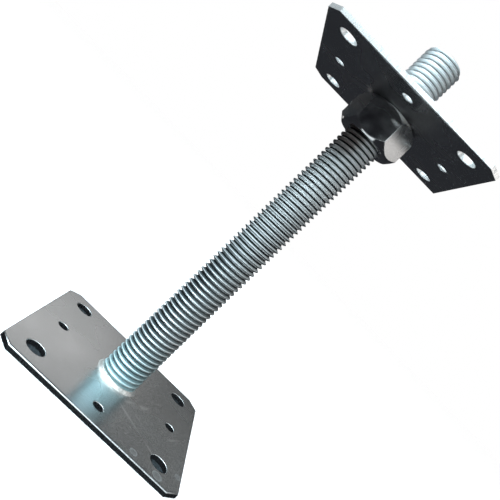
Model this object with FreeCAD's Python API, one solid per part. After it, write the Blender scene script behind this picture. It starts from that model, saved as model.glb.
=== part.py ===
"""Adjustable post base: a square foot plate with a threaded rod welded to its middle,
and a loose square seat plate that a hexagon nut carries up and down the rod.

Units are millimetres. The origin is the centre of the foot plate's underside, +Z points
up along the rod, and X and Y run along the foot plate's edges.
"""
import FreeCAD, Part
import math
import os

from FreeCAD import Vector

# Both plates: sheet steel, cropped at the corners, punched from the side that faces the nut
PLATE_SIDE = 110.0
PLATE_THICKNESS = 3.0
CORNER_CROP = 6.5
EDGE_ROLL_RADIUS = 0.8
RIM_ROLL = 0.45

# Two hole patterns, the same on both plates
ANCHOR_HOLE_DIAMETER = 11.0
ANCHOR_HOLE_SPACING = 80.0
SCREW_HOLE_DIAMETER = 6.5
SCREW_HOLE_SPACING = 80.0

# Threaded rod, M24, measured over the crests
OVERALL_HEIGHT = 250.0
ROD_DIAMETER = 23.6
ROD_TIP_DIAMETER = 19.8
ROD_TIP_TAPER = 2.6

# Ring of weld round the rod's foot
WELD_FOOT_DIAMETER = 26.8
WELD_HEIGHT = 1.9
WELD_BULGE = 0.25

# Hexagon nut, M24, with both ends chamfered
NUT_ACROSS_FLATS = 35.0
NUT_HEIGHT = 20.8
NUT_FACE_DIAMETER = 33.6
NUT_CHAMFER_ANGLE = 50.0
NUT_BORE_CLEARANCE = 0.1
NUT_MOUTH_DIAMETER = 25.9
NUT_TURN = 47.5

# Seat plate: how far it has been raised, and how far it is turned on the rod
SEAT_UNDERSIDE_HEIGHT = 208.5
SEAT_TURN = -5.7
SEAT_ROD_HOLE_DIAMETER = 25.0

UP = Vector(0, 0, 1)
OUT = 5.0


def cropped_square(square_corners=()):
    """Outline of a plate, centred on the origin. Corners are numbered anticlockwise
    from (-X, -Y), and those named in square_corners keep their point."""
    half = PLATE_SIDE / 2
    points = []
    for corner in range(4):
        turn = FreeCAD.Rotation(UP, 90 * corner)
        if corner in square_corners:
            ends = [Vector(-half, -half, 0)]
        else:
            ends = [Vector(-half, -half + CORNER_CROP, 0), Vector(-half + CORNER_CROP, -half, 0)]
        points += [turn.multVec(end) for end in ends]
    return Part.makePolygon(points + points[:1])


def hole_centres():
    """Places of the corner holes for anchors and of the mid-edge holes for screws."""
    corner = ANCHOR_HOLE_SPACING / 2
    edge = SCREW_HOLE_SPACING / 2
    anchors = [Vector(x, y, 0) for x in (-corner, corner) for y in (-corner, corner)]
    screws = [FreeCAD.Rotation(UP, 90 * k).multVec(Vector(edge, 0, 0)) for k in range(4)]
    return anchors, screws


def edges_on_top(plate, keep):
    """Edges in the plate's upper face for which keep(edge) is true."""
    return [
        edge for edge in plate.Edges
        if abs(edge.BoundBox.ZMin - PLATE_THICKNESS) < 1e-6 and keep(edge)
    ]


def is_straight(edge):
    return isinstance(edge.Curve, Part.Line)


def is_round(edge):
    return isinstance(edge.Curve, Part.Circle)


def punched_plate(square_corners=(), centre_hole_diameter=0.0):
    """A plate lying on the XY plane. Its upper side is the one that the punch entered,
    so the outline is rolled over there and each hole has a small lead-in."""
    plate = Part.Face(cropped_square(square_corners)).extrude(UP * PLATE_THICKNESS)
    plate = plate.makeFillet(EDGE_ROLL_RADIUS, edges_on_top(plate, is_straight))
    anchors, screws = hole_centres()
    holes = [(ANCHOR_HOLE_DIAMETER, centre) for centre in anchors]
    holes += [(SCREW_HOLE_DIAMETER, centre) for centre in screws]
    if centre_hole_diameter:
        holes.append((centre_hole_diameter, Vector(0, 0, 0)))
    for diameter, centre in holes:
        depth = PLATE_THICKNESS + 2 * OUT
        plate = plate.cut(Part.makeCylinder(diameter / 2, depth, centre - UP * OUT))
    return plate.makeChamfer(RIM_ROLL, edges_on_top(plate, is_round))


def revolved(profile):
    """Solid made by turning a closed profile of (radius, height) points round the rod's axis."""
    points = [Vector(radius, 0, height) for radius, height in profile]
    face = Part.Face(Part.makePolygon(points + points[:1]))
    return face.revolve(Vector(0, 0, 0), UP, 360)


def foot_plate():
    return punched_plate()


def threaded_rod():
    """The rod stands on the foot plate and has a turned taper at its free end."""
    radius = ROD_DIAMETER / 2
    return revolved([
        (0, PLATE_THICKNESS),
        (radius, PLATE_THICKNESS),
        (radius, OVERALL_HEIGHT - ROD_TIP_TAPER),
        (ROD_TIP_DIAMETER / 2, OVERALL_HEIGHT),
        (0, OVERALL_HEIGHT),
    ])


def weld_bead():
    """A slightly convex fillet between the rod and the foot plate, all the way round."""
    inner = Vector(ROD_DIAMETER / 2, 0, PLATE_THICKNESS)
    foot = Vector(WELD_FOOT_DIAMETER / 2, 0, PLATE_THICKNESS)
    top = inner + UP * WELD_HEIGHT
    outward = Vector(WELD_HEIGHT, 0, foot.x - inner.x).normalize()
    crown = (foot + top) * 0.5 + outward * WELD_BULGE
    section = Part.Wire([
        Part.LineSegment(top, inner).toShape(),
        Part.LineSegment(inner, foot).toShape(),
        Part.Arc(foot, crown, top).toShape(),
    ])
    return Part.Face(section).revolve(Vector(0, 0, 0), UP, 360)


def hex_nut():
    """Hexagon prism whose two ends are turned to a cone, bored to run on the rod."""
    corner_radius = NUT_ACROSS_FLATS / math.sqrt(3)
    top = SEAT_UNDERSIDE_HEIGHT
    bottom = top - NUT_HEIGHT
    hexagon = [
        FreeCAD.Rotation(UP, NUT_TURN + 60 * k).multVec(Vector(corner_radius, 0, bottom))
        for k in range(6)
    ]
    prism = Part.Face(Part.makePolygon(hexagon + hexagon[:1])).extrude(UP * NUT_HEIGHT)
    face_radius = NUT_FACE_DIAMETER / 2
    reach = corner_radius + OUT
    drop = (reach - face_radius) * math.tan(math.radians(NUT_CHAMFER_ANGLE))
    chamfered_blank = revolved([
        (0, bottom),
        (face_radius, bottom),
        (reach, bottom + drop),
        (reach, top - drop),
        (face_radius, top),
        (0, top),
    ])
    bore_radius = ROD_DIAMETER / 2 + NUT_BORE_CLEARANCE
    mouth_radius = NUT_MOUTH_DIAMETER / 2
    mouth_depth = mouth_radius - bore_radius
    bore = revolved([
        (0, bottom),
        (mouth_radius, bottom),
        (bore_radius, bottom + mouth_depth),
        (bore_radius, top - mouth_depth),
        (mouth_radius, top),
        (0, top),
    ])
    return prism.common(chamfered_blank).cut(bore)


def seat_plate():
    """The same punching as the foot plate, turned over, with a hole for the rod.
    One of its corners is left square."""
    plate = punched_plate(square_corners=(1,), centre_hole_diameter=SEAT_ROD_HOLE_DIAMETER)
    plate.rotate(Vector(0, 0, 0), Vector(1, 0, 0), 180)
    plate.translate(UP * (SEAT_UNDERSIDE_HEIGHT + PLATE_THICKNESS))
    plate.rotate(Vector(0, 0, 0), UP, SEAT_TURN)
    return plate


PIECES = {
    "base_plate": foot_plate,
    "threaded_rod": threaded_rod,
    "weld_bead": weld_bead,
    "hex_nut": hex_nut,
    "top_plate": seat_plate,
}

os.makedirs("parts", exist_ok=True)
for name, make in PIECES.items():
    solid = make()
    if not solid.isValid() or len(solid.Solids) != 1:
        raise ValueError(name + " is not one valid solid")
    solid.exportStep("parts/" + name + ".step")
    print(name, round(solid.Volume, 1), "mm3")
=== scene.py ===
import bmesh
import bpy
import math
from mathutils import Euler, Matrix, Vector


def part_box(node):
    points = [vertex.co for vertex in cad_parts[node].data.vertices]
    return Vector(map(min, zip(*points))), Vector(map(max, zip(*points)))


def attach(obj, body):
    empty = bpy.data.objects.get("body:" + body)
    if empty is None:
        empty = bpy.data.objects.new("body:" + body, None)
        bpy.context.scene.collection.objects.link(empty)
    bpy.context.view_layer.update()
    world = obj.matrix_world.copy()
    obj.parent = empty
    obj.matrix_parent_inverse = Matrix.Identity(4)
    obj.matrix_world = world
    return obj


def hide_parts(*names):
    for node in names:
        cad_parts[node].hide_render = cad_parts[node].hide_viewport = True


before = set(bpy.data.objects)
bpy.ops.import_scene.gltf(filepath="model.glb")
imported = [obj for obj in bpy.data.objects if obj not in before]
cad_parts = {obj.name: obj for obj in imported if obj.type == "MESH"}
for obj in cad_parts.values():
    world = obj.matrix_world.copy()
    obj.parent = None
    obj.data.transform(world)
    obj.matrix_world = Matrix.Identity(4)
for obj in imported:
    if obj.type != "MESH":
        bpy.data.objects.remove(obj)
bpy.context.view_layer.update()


# Foot plate: 3 mm sheet steel, cropped at its corners and punched with eight holes, then zinc
# plated. The press comes down from above, so the outline and the hole rims are drawn over on
# that side and torn a little rough below. The rod stands welded on its middle.
MM = 0.001
PLATE_SIDE = 110 * MM
PLATE_THICKNESS = 3 * MM
CORNER_CROP = 6.5 * MM
EDGE_DRAW_WIDTH = 1.7 * MM
EDGE_DRAW_DEPTH = 0.16 * MM
EDGE_ROLL_SEGMENTS = 6
FOOT_EDGE_ROLL = 0.55 * MM
RIM_ROLL = 0.26 * MM
RIM_ROLL_STEPS = 3
ANCHOR_HOLE_RADIUS = 5.5 * MM
SCREW_HOLE_RADIUS = 3.25 * MM
HOLE_REACH = 40 * MM
HOLE_FACETS = 72
TEAR_FLARE = 0.12 * MM
TEAR_SHARE = 0.55
PUNCH_OVERSHOOT = 1 * MM
FOOT_DROPS = (
    (25.5 * MM, -49 * MM, 2.4 * MM),
    (41 * MM, -50.2 * MM, 3.1 * MM),
    (52.3 * MM, -37 * MM, 2 * MM),
)


def select_only(*objects):
    bpy.ops.object.select_all(action="DESELECT")
    for obj in objects:
        obj.select_set(True)
    bpy.context.view_layer.objects.active = objects[0]


def edit(obj):
    select_only(obj)
    bpy.ops.object.mode_set(mode="EDIT")


def pick(obj, kind, wanted):
    """In edit mode, selects only those vertices, edges or faces for which wanted() is true."""
    bpy.ops.mesh.select_mode(type=kind)
    bpy.ops.mesh.select_all(action="DESELECT")
    shape = bmesh.from_edit_mesh(obj.data)
    elements = {"VERT": shape.verts, "EDGE": shape.edges, "FACE": shape.faces}[kind]
    for element in elements:
        element.select_set(bool(wanted(element)))
    bmesh.update_edit_mesh(obj.data)


def faces_up(face):
    return face.normal.z > 0.9


def faces_down(face):
    return face.normal.z < -0.9


def extrude(x, y, z):
    """In edit mode, extrudes what is selected by this much."""
    bpy.ops.mesh.extrude_region_move(TRANSFORM_OT_translate={"value": (x, y, z)})


def apply_modifier(obj, kind, **settings):
    modifier = obj.modifiers.new(kind.title(), kind)
    for setting, value in settings.items():
        setattr(modifier, setting, value)
    select_only(obj)
    bpy.ops.object.modifier_apply(modifier=modifier.name)


def combine(obj, other, operation):
    """Cuts obj by other, or keeps what they share, and throws the other away."""
    apply_modifier(obj, "BOOLEAN", object=other, operation=operation, solver="EXACT")
    bpy.data.objects.remove(other)


def smooth_faces(obj, sharp_from):
    """Shades round faces smooth and leaves flat faces flat up to their edges. Edges that turn by
    more than sharp_from degrees stay sharp."""
    select_only(obj)
    bpy.ops.object.shade_smooth_by_angle(angle=math.radians(sharp_from))
    apply_modifier(obj, "WEIGHTED_NORMAL", weight=100, keep_sharp=True)


def punch(radius, x, y):
    """The shape that a punch leaves: drawn in at the top, straight, then torn wider below."""
    tear_top = PLATE_THICKNESS * TEAR_SHARE
    roll_foot = PLATE_THICKNESS - RIM_ROLL
    straight = roll_foot - tear_top
    bpy.ops.object.select_all(action="DESELECT")
    bpy.ops.mesh.primitive_cylinder_add(
        vertices=HOLE_FACETS, radius=radius, depth=straight,
        location=(x, y, tear_top + straight / 2))
    tool = bpy.context.object
    bpy.ops.object.transform_apply()
    bpy.ops.object.mode_set(mode="EDIT")
    reached = radius
    height = roll_foot
    for step in range(1, RIM_ROLL_STEPS + 2):
        turn = min(step / RIM_ROLL_STEPS, 1) * math.pi / 2
        wide = radius + RIM_ROLL * (1 - math.cos(turn))
        high = roll_foot + RIM_ROLL * math.sin(turn)
        if step > RIM_ROLL_STEPS:
            high += PUNCH_OVERSHOOT
        pick(tool, "FACE", faces_up)
        extrude(0, 0, high - height)
        bpy.ops.transform.resize(
            value=(wide / reached, wide / reached, 1), center_override=(x, y, high))
        reached = wide
        height = high
    pick(tool, "FACE", faces_down)
    extrude(0, 0, -tear_top)
    flare = (radius + TEAR_FLARE) / radius
    bpy.ops.transform.resize(value=(flare, flare, 1), center_override=(x, y, 0))
    extrude(0, 0, -PUNCH_OVERSHOOT)
    bpy.ops.object.mode_set(mode="OBJECT")
    return tool


def is_drawn_edge(edge):
    """True for the edges where the drawn-over slope meets the upright sides."""
    normals = sorted(face.normal.z for face in edge.link_faces)
    is_high = edge.verts[0].co.z > PLATE_THICKNESS / 3
    return is_high and len(normals) == 2 and normals[0] < 0.1 and normals[1] > 0.9


def punched_plate(name, edge_roll, square_corner=None, middle_radius=None):
    """A plate lying on the floor with its punched side up. Its corners are cropped, apart from
    the one on the side that square_corner points to."""
    bpy.ops.object.select_all(action="DESELECT")
    bpy.ops.mesh.primitive_plane_add(size=PLATE_SIDE)
    plate = bpy.context.object
    plate.name = name
    edit(plate)
    pick(plate, "VERT", lambda corner: (
        square_corner is None or corner.co.dot(square_corner) < PLATE_SIDE / 2))
    bpy.ops.mesh.bevel(offset=CORNER_CROP, offset_type="ABSOLUTE", affect="VERTICES")
    bpy.ops.mesh.select_all(action="SELECT")
    extrude(0, 0, PLATE_THICKNESS)
    bpy.ops.mesh.select_all(action="SELECT")
    bpy.ops.mesh.normals_make_consistent(inside=False)
    pick(plate, "FACE", faces_up)
    bpy.ops.mesh.inset(thickness=EDGE_DRAW_WIDTH)
    bpy.ops.transform.translate(value=(0, 0, EDGE_DRAW_DEPTH))
    bpy.ops.mesh.select_all(action="SELECT")
    flattened = PLATE_THICKNESS / (PLATE_THICKNESS + EDGE_DRAW_DEPTH)
    bpy.ops.transform.resize(value=(1, 1, flattened), center_override=(0, 0, 0))
    pick(plate, "EDGE", is_drawn_edge)
    bpy.ops.mesh.bevel(
        offset=edge_roll, segments=EDGE_ROLL_SEGMENTS, profile=0.5, affect="EDGES")
    bpy.ops.object.mode_set(mode="OBJECT")
    reach = (-HOLE_REACH, HOLE_REACH)
    tools = [punch(ANCHOR_HOLE_RADIUS, x, y) for x in reach for y in reach]
    for quarter in range(4):
        turn = quarter * math.pi / 2
        tools.append(
            punch(SCREW_HOLE_RADIUS, HOLE_REACH * math.cos(turn), HOLE_REACH * math.sin(turn)))
    if middle_radius:
        tools.append(punch(middle_radius, 0, 0))
    select_only(*tools)
    bpy.ops.object.join()
    combine(plate, tools[0], "DIFFERENCE")
    return plate


def feed(tree, socket, value):
    """Links a node's input to another node's output, or sets it to a value."""
    if isinstance(value, bpy.types.NodeSocket):
        tree.links.new(value, socket)
    else:
        socket.default_value = value


def node(tree, kind, **inputs):
    """A shader node with these inputs, which are values or other nodes' outputs."""
    made = tree.nodes.new("ShaderNode" + kind)
    for name, value in inputs.items():
        feed(tree, made.inputs[name.replace("_", " ")], value)
    return made


def math_node(tree, operation, *values):
    made = node(tree, "Math")
    made.operation = operation
    for socket, value in zip(made.inputs, values):
        feed(tree, socket, value)
    return made.outputs["Value"]


def mix_colours(tree, factor, first, second, blend="MIX"):
    made = node(tree, "Mix")
    made.data_type = "RGBA"
    made.blend_type = blend
    for name, value in (("Factor_Float", factor), ("A_Color", first), ("B_Color", second)):
        socket = next(each for each in made.inputs if each.identifier == name)
        feed(tree, socket, (*value, 1) if isinstance(value, tuple) else value)
    return next(each for each in made.outputs if each.identifier == "Result_Color")


def ramp(tree, factor, *stops):
    """A colour ramp from (position, grey or colour) stops."""
    made = node(tree, "ValToRGB", Fac=factor)
    line = made.color_ramp
    while len(line.elements) < len(stops):
        line.elements.new(0.5)
    for element, (position, shade) in zip(line.elements, stops):
        colour = shade if isinstance(shade, tuple) else (shade, shade, shade)
        element.position = position
        element.color = (*colour, 1)
    return made.outputs["Color"]


def along(tree, where, axis):
    return node(tree, "SeparateXYZ", Vector=where).outputs[axis]


def noise(tree, where, lumps, detail=2.0, turn=0.0):
    """Noise with so many lumps to the metre, or so many along each axis, turned about Z."""
    if turn:
        where = node(tree, "Mapping", Vector=where, Rotation=(0, 0, turn)).outputs["Vector"]
    stretch = lumps if isinstance(lumps, tuple) else (lumps, lumps, lumps)
    spread = node(tree, "Mapping", Vector=where, Scale=stretch).outputs["Vector"]
    return node(tree, "TexNoise", Vector=spread, Scale=1.0, Detail=detail).outputs["Fac"]


def lay_out(tree):
    """Spreads the nodes in columns, from the output back to what feeds it."""
    column_width = 250
    row_height = 300
    column = {each.name: 0 for each in tree.nodes}
    for _ in tree.nodes:
        for link in tree.links:
            source = link.from_node.name
            column[source] = max(column[source], column[link.to_node.name] + 1)
    filled = {}
    for each in tree.nodes:
        place = column[each.name]
        row = filled.get(place, 0)
        filled[place] = row + 1
        each.location = (-column_width * place, -row_height * row)


def new_metal(name):
    """An empty metal material, its node tree, and the place on the piece that its patterns read."""
    material = bpy.data.materials.new(name)
    material.use_nodes = True
    tree = material.node_tree
    tree.nodes["Principled BSDF"].inputs["Metallic"].default_value = 1
    where = node(tree, "TexCoord").outputs["Object"]
    return material, tree, where


def coat(material, tint, dullness, relief=None, strength=1.0, depth=0.0):
    """Gives a metal material its colour, its roughness and a fine relief of this depth."""
    tree = material.node_tree
    shader = tree.nodes["Principled BSDF"]
    feed(tree, shader.inputs["Base Color"], tint)
    feed(tree, shader.inputs["Roughness"], dullness)
    if relief is not None:
        bump = node(tree, "Bump", Height=relief, Strength=strength, Distance=depth)
        feed(tree, shader.inputs["Normal"], bump.outputs["Normal"])
    lay_out(tree)
    return material


def hair_lines(tree, where, turn, spacing):
    """Thin straight scratches, broken into short lengths."""
    wander = noise(tree, where, (1, spacing, 1), detail=0.0, turn=turn)
    off_middle = math_node(tree, "ABSOLUTE", math_node(tree, "SUBTRACT", wander, 0.5))
    line = ramp(tree, off_middle, (0.0, 1.0), (0.022, 0.0))
    gaps = noise(tree, where, (45, 190, 45), detail=1.0, turn=turn)
    kept = ramp(tree, gaps, (0.60, 0.0), (0.70, 1.0))
    return math_node(tree, "MULTIPLY", line, kept)


def dried_drop(tree, where, x, y, radius):
    """A round mark with a paler rim, where a drop of rinsing water dried."""
    apart = node(tree, "VectorMath", Vector=where)
    apart.operation = "DISTANCE"
    apart.inputs[1].default_value = (x, y, PLATE_THICKNESS)
    share = math_node(tree, "DIVIDE", apart.outputs["Value"], radius)
    return ramp(tree, share, (0.0, 0.25), (0.72, 0.35), (0.9, 1.0), (1.0, 0.0))


def sheet_finish(name, relief_strength, drops=()):
    """Bright zinc on cold rolled sheet: fine rolling lines along X, a faint cloud and a grain. A
    plate with dried drops has also been handled, so the half of it towards +X is speckled and
    has pips of zinc and hair scratches."""
    dull_zinc = (0.57, 0.58, 0.585)
    bright_zinc = (0.63, 0.63, 0.625)
    rolling_line = (0.47, 0.48, 0.49)
    grain_glint = (0.74, 0.75, 0.76)
    scratch_white = (0.95, 0.95, 0.95)
    rinse_white = (0.84, 0.85, 0.85)
    handled_from = -12 * MM
    handled_to = 14 * MM
    material, tree, where = new_metal(name)
    lines = noise(tree, where, (40, 1900, 40), detail=3.0)
    cloud = noise(tree, where, 24)
    grain = noise(tree, where, 1500, detail=1.0)
    bare = ramp(tree, cloud, (0.3, dull_zinc), (0.7, bright_zinc))
    lined = mix_colours(tree, ramp(tree, lines, (0.35, 0.0), (0.75, 0.16)), bare, rolling_line)
    tint = mix_colours(tree, ramp(tree, grain, (0.35, 0.0), (0.68, 0.4)), lined, grain_glint)
    dullness = ramp(tree, cloud, (0.3, 0.23), (0.7, 0.30))
    if drops:
        handled = node(
            tree, "MapRange", Value=along(tree, where, "X"), From_Min=handled_from,
            From_Max=handled_to).outputs["Result"]
        specks = ramp(tree, noise(tree, where, 1500), (0.38, 0.42), (0.62, 0.80))
        tint = mix_colours(tree, math_node(tree, "MULTIPLY", handled, 0.6), tint, specks)
        pips = node(tree, "TexVoronoi", Vector=where, Scale=170.0).outputs["Distance"]
        pip = ramp(tree, pips, (0.05, 1.0), (0.12, 0.0))
        scratch = math_node(
            tree, "MAXIMUM", hair_lines(tree, where, turn=0.55, spacing=330),
            hair_lines(tree, where, turn=-0.9, spacing=270))
        marks = math_node(tree, "MAXIMUM", pip, scratch)
        tint = mix_colours(tree, math_node(tree, "MULTIPLY", marks, handled), tint, scratch_white)
    for x, y, radius in drops:
        drop = dried_drop(tree, where, x, y, radius)
        tint = mix_colours(tree, math_node(tree, "MULTIPLY", drop, 0.95), tint, rinse_white)
        dullness = math_node(tree, "ADD", dullness, math_node(tree, "MULTIPLY", drop, 0.22))
    relief = math_node(tree, "ADD", lines, math_node(tree, "MULTIPLY", grain, 0.5))
    return coat(material, tint, dullness, relief, strength=relief_strength, depth=0.02 * MM)


def cut_finish(name, dark, pale):
    """The sheared edges and hole walls: dull, with streaks that run the way the press went."""
    material, tree, where = new_metal(name)
    streaks = noise(tree, where, (1500, 1500, 350))
    flecks = noise(tree, where, (900, 900, 700))
    both = math_node(tree, "MULTIPLY", streaks, flecks)
    bare = ramp(tree, both, (0.14, dark), (0.30, pale))
    tears = ramp(tree, noise(tree, where, 420, detail=1.0), (0.56, 0.0), (0.66, 0.4))
    tint = mix_colours(tree, tears, bare, dark)
    dullness = ramp(tree, both, (0.14, 0.36), (0.34, 0.22))
    return coat(material, tint, dullness, both, strength=0.12, depth=0.05 * MM)


def rim_finish():
    """The hole rims: a painted highlight, near white and dull, so that each shows as a light line.
    """
    rim_highlight_grey = (0.84, 0.85, 0.85)
    rim_highlight_white = (0.98, 0.99, 0.99)
    material, tree, where = new_metal("rim_painted_highlight")
    flecks = noise(tree, where, 700)
    tint = ramp(tree, flecks, (0.36, rim_highlight_grey), (0.52, rim_highlight_white))
    return coat(material, tint, ramp(tree, flecks, (0.36, 0.58), (0.62, 0.46)))


def stands_upright(face):
    return abs(face.normal.z) < 0.2


def is_hole_rim(face):
    """True for the sloping faces round a hole, which lie inside the rolled outline."""
    x, y = (abs(value) for value in face.calc_center_median().xy)
    inside = PLATE_SIDE / 2 - 2 * FOOT_EDGE_ROLL
    slopes = 0.2 <= face.normal.z < 0.97
    return slopes and max(x, y) < inside and x + y < 2 * inside - CORNER_CROP


def dress(obj, main_finish, *others):
    """Gives a piece its main finish, and each other one on the faces for which its test is true."""
    obj.data.materials.append(main_finish)
    for finish, wanted in others:
        obj.data.materials.append(finish)
        edit(obj)
        pick(obj, "FACE", wanted)
        obj.active_material_index = len(obj.data.materials) - 1
        bpy.ops.object.material_slot_assign()
        bpy.ops.object.mode_set(mode="OBJECT")


foot_plate = punched_plate("foot_plate", FOOT_EDGE_ROLL)
smooth_faces(foot_plate, sharp_from=35)
dress(
    foot_plate, sheet_finish("bright_zinc_foot", relief_strength=0.03, drops=FOOT_DROPS),
    # Painted shade: the foot's sheared edges are painted far darker than the seat's, cut the same
    # way.
    (cut_finish("sheared_foot_painted_shade", dark=(0.10, 0.11, 0.12), pale=(0.36, 0.38, 0.39)), stands_upright),
    # Painted highlight: the hole rims are painted near white.
    (rim_finish(), is_hole_rim))
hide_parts("base_plate")
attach(foot_plate, "base")


# Threaded rod: M24 steel bar with a rolled coarse thread from end to end, zinc plated, its free
# end turned to a short taper so that a nut starts easily. Its foot stands on the foot plate.
ROD_CREST_RADIUS = 11.8 * MM
PITCH = 3 * MM
CREST_FLAT = PITCH / 8
ROOT_RADIUS = 0.433 * MM
SHOULDER_RADIUS = 0.2 * MM
FLANK = math.radians(30)
ARC_STEPS = 3
THREAD_STEPS = 48
SPARE_TURNS = 2
SEAM_GAP = 0.002 * MM
CUT_TOLERANCE = 0.0001 * MM
ROD_TIP_RADIUS = 9.9 * MM
ROD_TIP_TAPER = 2.6 * MM
TURNED_FACETS = 144
BLANK_PLAY = 0.4 * MM
BLANK_OVERSHOOT = 5 * MM
rod_low, rod_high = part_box("threaded_rod")


def thread_profile(crest_radius):
    """One pitch of the thread, root to root, as (radius, height) points."""
    root_middle = crest_radius - (PITCH - CREST_FLAT) / 2 / math.tan(FLANK) + 2 * ROOT_RADIUS
    shoulder_from_middle = CREST_FLAT / 2 - SHOULDER_RADIUS * math.tan(math.pi / 4 - FLANK / 2)
    half = []
    for step in range(ARC_STEPS + 1):
        turn = step / ARC_STEPS * (math.pi / 2 - FLANK)
        half.append((root_middle - ROOT_RADIUS * math.cos(turn), ROOT_RADIUS * math.sin(turn)))
    for step in range(ARC_STEPS + 1):
        turn = (1 - step / ARC_STEPS) * (math.pi / 2 - FLANK)
        half.append((
            crest_radius - SHOULDER_RADIUS + SHOULDER_RADIUS * math.cos(turn),
            PITCH / 2 - shoulder_from_middle - SHOULDER_RADIUS * math.sin(turn)))
    return half + [(radius, PITCH - height) for radius, height in reversed(half)]


def drawn_section(name, points, foot):
    """A line through (radius, height) points over the height foot, left in edit mode."""
    bpy.ops.object.select_all(action="DESELECT")
    bpy.ops.mesh.primitive_plane_add(size=MM)
    section = bpy.context.object
    section.name = name
    bpy.ops.object.mode_set(mode="EDIT")
    bpy.ops.mesh.select_mode(type="VERT")
    bpy.ops.mesh.merge(type="CENTER")
    first_radius, first_height = points[0]
    bpy.ops.transform.translate(value=(first_radius, 0, foot + first_height))
    for (radius, height), (next_radius, next_height) in zip(points, points[1:]):
        extrude(next_radius - radius, 0, next_height - height)
    return section


def close_seams():
    """In edit mode, merges doubled vertices and turns all faces outwards."""
    bpy.ops.mesh.select_all(action="SELECT")
    bpy.ops.mesh.remove_doubles(threshold=SEAM_GAP)
    bpy.ops.mesh.normals_make_consistent(inside=False)


def threaded_bar(name, crest_radius, low, high):
    """A solid bar with the thread on it, cut square at both heights."""
    start = math.floor(low / PITCH - SPARE_TURNS) * PITCH
    bar = drawn_section(name, thread_profile(crest_radius), start)
    bpy.ops.object.mode_set(mode="OBJECT")
    turns = math.ceil((high - start) / PITCH + SPARE_TURNS)
    apply_modifier(
        bar, "SCREW", axis="Z", angle=2 * math.pi, screw_offset=PITCH, iterations=turns,
        steps=THREAD_STEPS, render_steps=THREAD_STEPS)
    edit(bar)
    close_seams()
    for height, side in ((low, -1), (high, 1)):
        bpy.ops.mesh.select_all(action="SELECT")
        bpy.ops.mesh.bisect(
            plane_co=(0, 0, height), plane_no=(0, 0, side), clear_outer=True, use_fill=True,
            threshold=CUT_TOLERANCE)
    bpy.ops.mesh.select_all(action="SELECT")
    bpy.ops.mesh.normals_make_consistent(inside=False)
    bpy.ops.object.mode_set(mode="OBJECT")
    return bar


def turned_blank(radius, low, high):
    """A round bar between two heights, left in edit mode to be turned to its shape."""
    bpy.ops.object.select_all(action="DESELECT")
    bpy.ops.mesh.primitive_cylinder_add(
        vertices=TURNED_FACETS, radius=radius, depth=high - low, location=(0, 0, (high + low) / 2))
    blank = bpy.context.object
    bpy.ops.object.transform_apply()
    bpy.ops.object.mode_set(mode="EDIT")
    return blank


rod = threaded_bar("thread_rod", ROD_CREST_RADIUS, rod_low.z, rod_high.z)
taper_foot = rod_high.z - ROD_TIP_TAPER
blank_radius = ROD_CREST_RADIUS + BLANK_PLAY
blank = turned_blank(blank_radius, rod_low.z - BLANK_OVERSHOOT, taper_foot)
pick(blank, "FACE", faces_up)
extrude(0, 0, 2 * ROD_TIP_TAPER)
taper_step = 2 * (ROD_CREST_RADIUS - ROD_TIP_RADIUS)
taper = (ROD_CREST_RADIUS - taper_step) / blank_radius
bpy.ops.transform.resize(value=(taper, taper, 1), center_override=(0, 0, taper_foot))
bpy.ops.object.mode_set(mode="OBJECT")
combine(rod, blank, "INTERSECT")
smooth_faces(rod, sharp_from=40)


def compass(tree, where):
    """Share of a full turn about Z, counted from -X."""
    gradient = node(tree, "TexGradient", Vector=where)
    gradient.gradient_type = "RADIAL"
    return gradient.outputs["Fac"]


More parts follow.
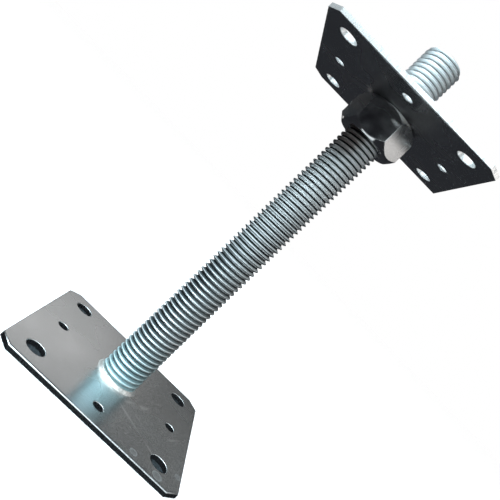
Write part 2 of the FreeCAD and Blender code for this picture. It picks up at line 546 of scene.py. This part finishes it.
def rod_finish():
    """Zinc on a rolled thread, with painted shade: dark roots, and a dark line along the seam that
    rolling leaves on the crest, widest in the rod's middle. Towards both ends the upper flanks are
    painted darker, as painted shade. Painted shade darkens the grooves on one side of the lower
    half, patchy brown painted shade lies on the other side, and a brown painted shadow lies below
    the nut. Near the foot and at the tip the colour is lifted to clean zinc as painted light, and
    a cyan tint at the foot is a painted reflection of the blue light."""
    # The root and seam colours are painted shade, in the roots and along the crest seam.
    root = (0.035, 0.04, 0.045)
    clean = (0.96, 0.98, 0.98)
    crest = (0.92, 0.94, 0.95)
    seam = (0.12, 0.13, 0.135)
    flank_shade = (0.36, 0.40, 0.41)
    groove_shade_teal = (0.105, 0.135, 0.15)
    nut_shadow_brown = (0.50, 0.44, 0.42)
    side_shade_brown = (0.22, 0.20, 0.19)
    reflection_cyan = (0.79, 0.97, 1.0)
    material, tree, where = new_metal("bright_zinc_thread")
    around = compass(tree, where)
    height = along(tree, where, "Z")
    unwound = math_node(tree, "SUBTRACT", math_node(tree, "DIVIDE", height, PITCH), around)
    from_root = math_node(tree, "FRACT", math_node(tree, "ADD", unwound, 0.5))

    # Painted shade: towards both ends the upper flanks are painted darker.
    flank_shaded_thread = ramp(
        tree, from_root, (0.0, seam), (0.05, seam), (0.12, clean), (0.38, clean), (0.41, crest),
        (0.46, crest), (0.475, seam), (0.525, seam), (0.54, crest), (0.58, crest), (0.60, clean),
        (0.64, clean), (0.70, flank_shade), (0.86, flank_shade), (0.93, seam))
    bright_thread = ramp(
        tree, from_root, (0.0, root), (0.11, root), (0.16, clean), (0.81, clean), (0.87, root))
    bright_along = ramp(
        tree, height, (0.065, 0.0), (0.105, 1.0), (0.200, 1.0), (0.212, 0.0))
    rolled = mix_colours(tree, bright_along, flank_shaded_thread, bright_thread)
    # Painted shade: a wider dark line along the crest seam, strongest in the rod's middle.
    seam_shade_line = ramp(
        tree, from_root, (0.39, 0.0), (0.425, 1.0), (0.575, 1.0), (0.60, 0.0))
    seam_shade_along = ramp(
        tree, height, (0.065, 0.0), (0.105, 1.0), (0.13, 1.0), (0.15, 0.3), (0.21, 0.3))
    seam_shaded = mix_colours(
        tree, math_node(tree, "MULTIPLY", seam_shade_line, seam_shade_along), rolled, seam)
    # Painted light: the colour is lifted towards clean zinc at the foot and at the tip.
    painted_light_along = ramp(
        tree, height, (0.006, 0.4), (0.014, 0.0), (0.212, 0.0), (0.222, 0.12))
    painted_light_ends = mix_colours(tree, painted_light_along, seam_shaded, clean)

    off_crest = ramp(
        tree, from_root, (0.05, 0.0), (0.12, 1.0), (0.38, 1.0), (0.41, 0.0), (0.62, 0.0),
        (0.68, 0.85), (0.86, 0.85), (0.93, 0.0))
    # Painted shade: dark teal in the flanks and roots on one side of the lower half.
    groove_shade_along = ramp(
        tree, height, (0.02, 0.0), (0.036, 1.0), (0.08, 1.0), (0.11, 0.2), (0.2, 0.0))
    groove_shade_around = ramp(
        tree, around, (0.0, 0.8), (0.06, 1.0), (0.15, 1.0), (0.22, 0.5), (0.34, 0.15),
        (0.5, 0.2), (0.62, 0.6))
    groove_shade = math_node(
        tree, "MULTIPLY", off_crest, math_node(tree, "MULTIPLY", groove_shade_along, groove_shade_around))
    groove_shaded = mix_colours(tree, groove_shade, painted_light_ends, groove_shade_teal)

    # Painted shadow: brown darkening on one side of the rod just below the nut.
    nut_shadow_along = ramp(
        tree, height, (0.170, 0.0), (0.178, 1.0), (0.192, 1.0), (0.2, 0.0))
    nut_shadow_around = ramp(
        tree, around, (0.0, 1.0), (0.20, 1.0), (0.27, 0.3), (0.34, 0.0), (0.9, 0.0))
    nut_shadow = math_node(tree, "MULTIPLY", nut_shadow_along, nut_shadow_around)
    nut_shadowed = mix_colours(tree, nut_shadow, groove_shaded, nut_shadow_brown, "MULTIPLY")

    # Painted shade: patchy brown on the rod's other side, strongest low down.
    side_shade_along = ramp(
        tree, height, (0.006, 0.5), (0.02, 1.0), (0.085, 0.8), (0.12, 0.3), (0.2, 0.2))
    side_shade_around = ramp(
        tree, around, (0.33, 0.0), (0.39, 0.4), (0.43, 1.0), (0.55, 1.0), (0.65, 0.0))
    patches = ramp(tree, noise(tree, where, (450, 450, 700)), (0.42, 0.0), (0.58, 0.6))
    side_shade = math_node(
        tree, "MULTIPLY", patches, math_node(tree, "MULTIPLY", side_shade_along, side_shade_around))
    side_shaded = mix_colours(tree, side_shade, nut_shadowed, side_shade_brown)

    # Painted reflection: a cyan tint near the foot stands in for the blue light it reflects.
    reflection_along = ramp(tree, height, (0.012, 1.0), (0.040, 0.0))
    reflection_tinted = mix_colours(tree, reflection_along, side_shaded, reflection_cyan, "MULTIPLY")
    dullness = ramp(
        tree, from_root, (0.0, 0.6), (0.1, 0.48), (0.42, 0.44), (0.46, 0.38), (0.54, 0.38),
        (0.58, 0.44), (0.63, 0.62), (1.0, 0.62))
    tree.nodes["Principled BSDF"].inputs["Specular Tint"].default_value = (0.35, 0.37, 0.38, 1)
    return coat(material, reflection_tinted, dullness)


def is_cut_end(face):
    return abs(face.normal.z) > 0.95


dress(
    rod, rod_finish(),
    (cut_finish("cropped_end", dark=(0.46, 0.47, 0.48), pale=(0.70, 0.71, 0.71)), is_cut_end))
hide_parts("threaded_rod")
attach(rod, "base")


# Weld: one pass of weld metal laid round the rod's foot and plated over with the rest, so it is a
# pale, slightly lumpy collar with a crisp upper rim.
WELD_FOOT_RADIUS = 13.4 * MM
WELD_INNER_RADIUS = 9.5 * MM
WELD_HEIGHT = 1.9 * MM
WELD_STEPS = 160
WELD_LUMP = 0.5 * MM
WELD_LUMP_SIZE = 1.3 * MM
WELD_LUMP_LEVEL = 0.62
WELD_TOE = 0.2 * MM
weld_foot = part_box("weld_bead")[0].z

# Its outer face, from the toe up and over the rim: how far in from the toe, and share of the height
WELD_FACE = (
    (0.0, 0.0),
    (0.35 * MM, 0.2),
    (0.75 * MM, 0.48),
    (1.05 * MM, 0.76),
    (1.2 * MM, 0.95),
    (1.45 * MM, 1.0),
    (2 * MM, 0.86),
)
weld_outside = [(WELD_FOOT_RADIUS - inward, share * WELD_HEIGHT) for inward, share in WELD_FACE]
weld_inside = [(WELD_INNER_RADIUS, weld_outside[-1][1]), (WELD_INNER_RADIUS, 0)]
weld = drawn_section("weld_ring", weld_inside[1:] + weld_outside + weld_inside, weld_foot)
bpy.ops.mesh.select_all(action="SELECT")
bpy.ops.mesh.remove_doubles(threshold=SEAM_GAP)
bpy.ops.mesh.spin(steps=WELD_STEPS, angle=2 * math.pi, center=(0, 0, 0), axis=(0, 0, 1))
close_seams()
bpy.ops.object.mode_set(mode="OBJECT")


def is_on_crown(vertex):
    return vertex.co.z > weld_foot + WELD_TOE and vertex.co.xy.length > ROD_CREST_RADIUS


crown = weld.vertex_groups.new(name="crown")
crown.add([each.index for each in weld.data.vertices if is_on_crown(each)], 1.0, "REPLACE")
lumps = bpy.data.textures.new("weld_lumps", "CLOUDS")
lumps.noise_scale = WELD_LUMP_SIZE
lumps.noise_depth = 2
apply_modifier(
    weld, "DISPLACE", texture=lumps, texture_coords="GLOBAL", strength=WELD_LUMP,
    mid_level=WELD_LUMP_LEVEL, vertex_group="crown")
smooth_faces(weld, sharp_from=50)


def weld_finish():
    """Zinc over weld metal: pale and dull, with small pits."""
    pit_grey = (0.55, 0.54, 0.52)
    zinc_white = (0.90, 0.89, 0.86)
    material, tree, where = new_metal("plated_weld")
    pits = noise(tree, where, 900, detail=3.0)
    patches = noise(tree, where, 260, detail=1.0)
    both = math_node(tree, "MULTIPLY", pits, patches)
    tint = ramp(tree, both, (0.12, pit_grey), (0.32, zinc_white))
    dullness = ramp(tree, both, (0.12, 0.62), (0.32, 0.45))
    return coat(material, tint, dullness, both, strength=0.8, depth=0.15 * MM)


dress(weld, weld_finish())
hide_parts("weld_bead")
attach(weld, "base")


# Nut: M24 hexagon nut, forged, turned to a cone at both ends and tapped, then zinc plated. It
# runs on the rod and carries the seat plate.
NUT_ACROSS_FLATS = 35 * MM
NUT_CORNER_RADIUS = NUT_ACROSS_FLATS / math.sqrt(3)
NUT_BLANK_RADIUS = NUT_CORNER_RADIUS + 1 * MM
NUT_FACE_RADIUS = 16.8 * MM
NUT_CHAMFER = math.radians(50)
NUT_EDGE = 0.22 * MM
NUT_EDGE_ANGLE = math.radians(25)
NUT_TURN = math.radians(47.5)
THREAD_PLAY = 0.1 * MM
NUT_MOUTH_RADIUS = 12.95 * MM
NUT_MOUTH_END_RADIUS = ROD_CREST_RADIUS - 1.9 * MM
NUT_MOUTH_FACETS = 96
SCUFFED_FLAT = (math.cos(NUT_TURN - math.pi / 2), math.sin(NUT_TURN - math.pi / 2), 0)
SCUFF_FROM = 17.1 * MM
SCUFF_TO = 17.4 * MM
nut_low, nut_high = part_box("hex_nut")
nut_ends = ((nut_high.z, -1), (nut_low.z, 1))

bpy.ops.object.select_all(action="DESELECT")
bpy.ops.mesh.primitive_cylinder_add(
    vertices=6, radius=NUT_CORNER_RADIUS, depth=nut_high.z - nut_low.z,
    location=(0, 0, (nut_high.z + nut_low.z) / 2), rotation=(0, 0, NUT_TURN - math.pi / 2))
nut = bpy.context.object
nut.name = "carrier_nut"
bpy.ops.object.transform_apply()

turned = turned_blank(NUT_BLANK_RADIUS, nut_low.z, nut_high.z)
pick(turned, "FACE", lambda face: faces_up(face) or faces_down(face))
turned_off = NUT_BLANK_RADIUS - NUT_FACE_RADIUS
bpy.ops.mesh.inset(thickness=turned_off, use_individual=True)
for end, side in nut_ends:
    pick(turned, "VERT", lambda vertex: (
        abs(vertex.co.z - end) < 0.01 * MM
        and vertex.co.xy.length > NUT_FACE_RADIUS + turned_off / 2))
    bpy.ops.transform.translate(value=(0, 0, side * turned_off * math.tan(NUT_CHAMFER)))
bpy.ops.object.mode_set(mode="OBJECT")
combine(nut, turned, "INTERSECT")
apply_modifier(
    nut, "BEVEL", width=NUT_EDGE, segments=2, limit_method="ANGLE", angle_limit=NUT_EDGE_ANGLE)

tap = threaded_bar("tap", ROD_CREST_RADIUS + THREAD_PLAY, nut_low.z - PITCH, nut_high.z + PITCH)
combine(nut, tap, "DIFFERENCE")
mouth_depth = NUT_MOUTH_RADIUS - NUT_MOUTH_END_RADIUS
for end, side in nut_ends:
    bpy.ops.object.select_all(action="DESELECT")
    bpy.ops.mesh.primitive_cone_add(
        vertices=NUT_MOUTH_FACETS, radius1=NUT_MOUTH_RADIUS + mouth_depth,
        radius2=NUT_MOUTH_END_RADIUS, depth=2 * mouth_depth, location=(0, 0, end),
        rotation=(0 if side > 0 else math.pi, 0, 0))
    mouth = bpy.context.object
    bpy.ops.object.transform_apply()
    combine(nut, mouth, "DIFFERENCE")
smooth_faces(nut, sharp_from=25)


def nut_finish():
    """Zinc on a forged nut: a fine grain that scatters a little, worn bright spots, and one flat
    that a spanner has scuffed."""
    dull_zinc = (0.54, 0.535, 0.53)
    bright_zinc = (0.62, 0.615, 0.61)
    worn_spot = (0.80, 0.79, 0.78)
    material, tree, where = new_metal("bright_zinc_nut")
    grain = noise(tree, where, 1500)
    cloud = noise(tree, where, 130)
    bare = ramp(tree, cloud, (0.35, dull_zinc), (0.65, bright_zinc))
    tint = mix_colours(tree, ramp(tree, grain, (0.45, 0.0), (0.75, 0.5)), bare, worn_spot)
    reach = node(tree, "VectorMath", Vector=where)
    reach.operation = "DOT_PRODUCT"
    reach.inputs[1].default_value = SCUFFED_FLAT
    scuff = node(
        tree, "MapRange", Value=reach.outputs["Value"], From_Min=SCUFF_FROM, From_Max=SCUFF_TO,
        To_Min=0.0, To_Max=0.16)
    gloss = ramp(tree, cloud, (0.35, 0.08), (0.65, 0.13))
    dullness = math_node(tree, "ADD", gloss, scuff.outputs["Result"])
    return coat(material, tint, dullness, grain, strength=0.02, depth=0.03 * MM)


dress(nut, nut_finish())
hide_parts("hex_nut")
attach(nut, "nut")


# Seat plate: the same punching as the foot plate, turned over, with a fifth hole that passes the
# rod. It lies loose on the nut. One of its corners was left square.
SEAT_TURN = math.radians(-5.7)
SEAT_ROD_HOLE_RADIUS = 12.5 * MM
SEAT_EDGE_ROLL = 0.4 * MM
SEAT_SQUARE_CORNER = Vector((1, -1, 0))
seat_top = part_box("top_plate")[1].z

seat_plate = punched_plate("seat_plate", SEAT_EDGE_ROLL, SEAT_SQUARE_CORNER, SEAT_ROD_HOLE_RADIUS)
seat_plate.matrix_world = (
    Matrix.Translation((0, 0, seat_top)) @ Matrix.Rotation(SEAT_TURN, 4, "Z")
    @ Matrix.Rotation(math.pi, 4, "X"))
select_only(seat_plate)
bpy.ops.object.transform_apply()
smooth_faces(seat_plate, sharp_from=35)
dress(
    seat_plate, sheet_finish("bright_zinc_seat", relief_strength=0.015),
    (cut_finish("sheared_seat", dark=(0.56, 0.57, 0.58), pale=(0.92, 0.92, 0.91)), stands_upright))
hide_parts("top_plate")
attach(seat_plate, "seat")


# Stage: a white floor and sky that the metal sees too, and a dark felt pad that shows in the foot
# plate's holes. Polished plates would mirror nothing but white, so painted paper, a dark cloth, a
# ceiling and a white card stand round the set, and they show only in the metal.
FLOOR_SIDE = 20.0
FELT_SIDE = 104 * MM
FELT_LIFT = 0.05 * MM
RING_RADIUS = 1.0
RING_HEIGHT = 1.3
RING_FACETS = 96
CLOTH_LIFT = 0.2 * MM
CLOTH_GREY = (0.026, 0.028, 0.033, 1)
CARD_LENGTH = 0.145
CARD_WIDTH = 0.034
CARD_PLACE = (-0.025, -0.090, 0.3 * MM)
CARD_TURN = math.radians(-11)
CARD_WHITE = (1.1, 1.2, 1.25, 1)
LAMP_AIM = Vector((0, 0, 0.12))

bpy.ops.object.select_all(action="DESELECT")
bpy.ops.mesh.primitive_plane_add(size=FLOOR_SIDE)
floor = bpy.context.object
floor.name = "floor"
paper = bpy.data.materials.new("white_paper")
paper.use_nodes = True
paper_shader = paper.node_tree.nodes["Principled BSDF"]
paper_shader.inputs["Base Color"].default_value = (0.9, 0.9, 0.9, 1)
paper_shader.inputs["Roughness"].default_value = 1
paper_shader.inputs["Emission Color"].default_value = (1, 1, 1, 1)
paper_shader.inputs["Emission Strength"].default_value = 0.25
floor.data.materials.append(paper)

bpy.ops.object.select_all(action="DESELECT")
bpy.ops.mesh.primitive_plane_add(size=FELT_SIDE, location=(0, 0, FELT_LIFT))
felt = bpy.context.object
felt.name = "felt"
felt_stuff = bpy.data.materials.new("dark_felt")
felt_stuff.use_nodes = True
felt_tree = felt_stuff.node_tree
felt_where = node(felt_tree, "TexCoord").outputs["Object"]
felt_grain = node(felt_tree, "TexNoise", Vector=felt_where, Scale=900.0, Detail=2.0)
felt_shade = ramp(
    felt_tree, felt_grain.outputs["Fac"], (0.35, (0.001, 0.0015, 0.002)),
    (0.75, (0.035, 0.05, 0.06)))
felt_shader = felt_tree.nodes["Principled BSDF"]
felt_tree.links.new(felt_shade, felt_shader.inputs["Base Color"])
felt_shader.inputs["Roughness"].default_value = 1
lay_out(felt_tree)
felt.data.materials.append(felt_stuff)


def glow(name, paint):
    """A material that shines with the colour that paint() makes in its nodes."""
    material = bpy.data.materials.new(name)
    material.use_nodes = True
    tree = material.node_tree
    tree.nodes.clear()
    shine = node(tree, "Emission", Color=paint(tree))
    node(tree, "OutputMaterial", Surface=shine.outputs["Emission"])
    lay_out(tree)
    return material


def hang(obj, name, paint):
    """Names a sheet of the set, paints it, and lets it show only in the metal."""
    obj.name = name
    obj.data.materials.append(glow(name, paint))
    obj.visible_camera = False
    obj.visible_diffuse = False
    obj.visible_shadow = False


def ring_paint(tree):
    """Greys round the ring, as ramps over the compass, one for each level from the floor up."""
    black = (0.012, 0.013, 0.016)
    left_dark = (0.03, 0.035, 0.04)
    left_grey = (0.42, 0.45, 0.47)
    left_high = (0.7, 0.82, 0.86)
    front_shade = (0.11, 0.12, 0.13)
    front_grey = (0.63, 0.67, 0.68)
    front_high = (0.30, 0.33, 0.34)
    window_light = (1.35, 1.53, 1.6)
    sky_light = (1.6, 1.85, 1.95)
    right_white = (1.5, 1.48, 1.46)
    back_low = (0.034, 0.036, 0.041)
    back_brown = (0.29, 0.295, 0.29)
    back_grey = (1.0, 0.995, 0.985)
    where = node(tree, "TexCoord").outputs["Object"]
    around = compass(tree, where)
    height = along(tree, where, "Z")
    skirting = ramp(
        tree, around, (0.0, left_dark), (0.10, black), (0.225, black), (0.245, window_light),
        (0.33, window_light), (0.38, front_grey), (0.49, front_grey), (0.53, left_dark),
        (0.60, back_low), (0.785, back_low), (0.82, back_grey), (0.86, left_dark))
    low = ramp(
        tree, around, (0.0, left_dark), (0.10, front_shade), (0.185, front_shade),
        (0.215, window_light), (0.33, window_light), (0.38, front_grey), (0.49, front_grey),
        (0.53, left_dark), (0.60, black), (0.9, black))
    middle = ramp(
        tree, around, (0.0, left_grey), (0.06, left_grey), (0.10, black), (0.21, black),
        (0.23, window_light), (0.33, window_light), (0.40, front_grey), (0.46, right_white),
        (0.531, right_white), (0.545, 0.2), (0.61, back_brown), (0.725, back_brown),
        (0.75, back_grey), (0.82, back_grey), (0.85, left_dark), (0.90, left_dark),
        (0.94, left_grey))
    high = ramp(
        tree, around, (0.0, left_high), (0.12, sky_light), (0.30, sky_light), (0.38, front_high),
        (0.46, 0.8), (0.53, 0.55), (0.60, 0.4), (0.64, left_dark), (0.83, left_dark),
        (0.90, left_high))
    painted = skirting
    for row, start, end in ((low, 0.13, 0.18), (middle, 0.31, 0.36), (high, 0.54, 0.58)):
        share = ramp(tree, height, (start, 0.0), (end, 1.0))
        painted = mix_colours(tree, share, painted, row)
    return painted


def ceiling_paint(tree):
    """Bright over the front left, and shaded to the right."""
    where = node(tree, "TexCoord").outputs["Object"]
    spread = node(
        tree, "MapRange", Value=along(tree, where, "X"), From_Min=-0.1, From_Max=0.5)
    return ramp(
        tree, spread.outputs["Result"], (0.0, (1.15, 1.4, 1.5)), (1.0, (0.42, 0.46, 0.48)))


bpy.ops.object.select_all(action="DESELECT")
bpy.ops.mesh.primitive_cylinder_add(
    vertices=RING_FACETS, radius=RING_RADIUS, depth=RING_HEIGHT, end_fill_type="NOTHING",
    location=(0, 0, RING_HEIGHT / 2))
bpy.ops.object.transform_apply()
hang(bpy.context.object, "paper_ring", ring_paint)

for name, lift, paint in (
        ("floor_cloth", CLOTH_LIFT, lambda tree: CLOTH_GREY),
        ("ceiling", RING_HEIGHT, ceiling_paint)):
    bpy.ops.object.select_all(action="DESELECT")
    bpy.ops.mesh.primitive_circle_add(
        vertices=RING_FACETS, radius=RING_RADIUS, fill_type="NGON", location=(0, 0, lift))
    bpy.ops.object.transform_apply()
    hang(bpy.context.object, name, paint)

bpy.ops.object.select_all(action="DESELECT")
bpy.ops.mesh.primitive_plane_add(size=1, location=CARD_PLACE, rotation=(0, 0, CARD_TURN))
card = bpy.context.object
card.scale = (CARD_LENGTH, CARD_WIDTH, 1)
bpy.ops.object.transform_apply()
hang(card, "white_card", lambda tree: CARD_WHITE)

world = bpy.data.worlds.new("surround")
bpy.context.scene.world = world
world.use_nodes = True
sky = world.node_tree
sky.nodes.clear()
ray = node(sky, "LightPath").outputs
direct = math_node(sky, "MAXIMUM", ray["Is Camera Ray"], ray["Is Glossy Ray"])
shown = math_node(sky, "MAXIMUM", direct, ray["Is Transmission Ray"])
strength = node(sky, "MapRange", Value=shown, To_Min=0.8, To_Max=1.0)
ground = node(sky, "Background", Color=(1, 1, 1, 1), Strength=strength.outputs["Result"])
node(sky, "OutputWorld", Surface=ground.outputs["Background"])
lay_out(sky)


def soft_box(name, size, power, colour, place):
    """A rectangular lamp that points at the rod's middle and stays out of the picture."""
    light = bpy.data.lights.new(name, "AREA")
    light.shape = "RECTANGLE"
    light.size, light.size_y = size
    light.energy = power
    light.color = colour
    lamp = bpy.data.objects.new(name, light)
    lamp.location = place
    lamp.rotation_euler = (LAMP_AIM - lamp.location).to_track_quat("-Z", "Y").to_euler()
    lamp.visible_camera = False
    bpy.context.scene.collection.objects.link(lamp)


soft_box(
    "window", size=(1.4, 0.6), power=9, colour=(0.8, 0.94, 1.0), place=(-0.52, -0.70, 0.88))
soft_box(
    "skylight", size=(0.8, 0.8), power=20, colour=(0.74, 0.91, 1.0), place=(-0.45, -0.30, 1.05))


# Camera: at the height of the rod's middle and close to it, tipped on its side so that the rod
# leans to the upper right.
CAMERA_PLACE = Vector((-28.219, -302.267, 124.549)) * MM
CAMERA_HEADING = 5.97
CAMERA_TILT = -0.22
CAMERA_ROLL = 46.17
SENSOR_WIDTH = 36
LENS = 40.31
SHIFT_X = -0.0631
SHIFT_Y = -0.0431
NEAREST = 10 * MM
eye_data = bpy.data.cameras.new("camera")
eye_data.sensor_width = SENSOR_WIDTH
eye_data.lens = LENS
eye_data.shift_x = SHIFT_X
eye_data.shift_y = SHIFT_Y
eye_data.clip_start = NEAREST
eye = bpy.data.objects.new("camera", eye_data)
level_view = Euler((math.radians(90 + CAMERA_TILT), 0, math.radians(-CAMERA_HEADING))).to_matrix()
eye.rotation_euler = (level_view @ Matrix.Rotation(math.radians(CAMERA_ROLL), 3, "Z")).to_euler()
eye.location = CAMERA_PLACE
bpy.context.scene.collection.objects.link(eye)
bpy.context.scene.camera = eye
bpy.context.scene.view_settings.view_transform = "Standard"
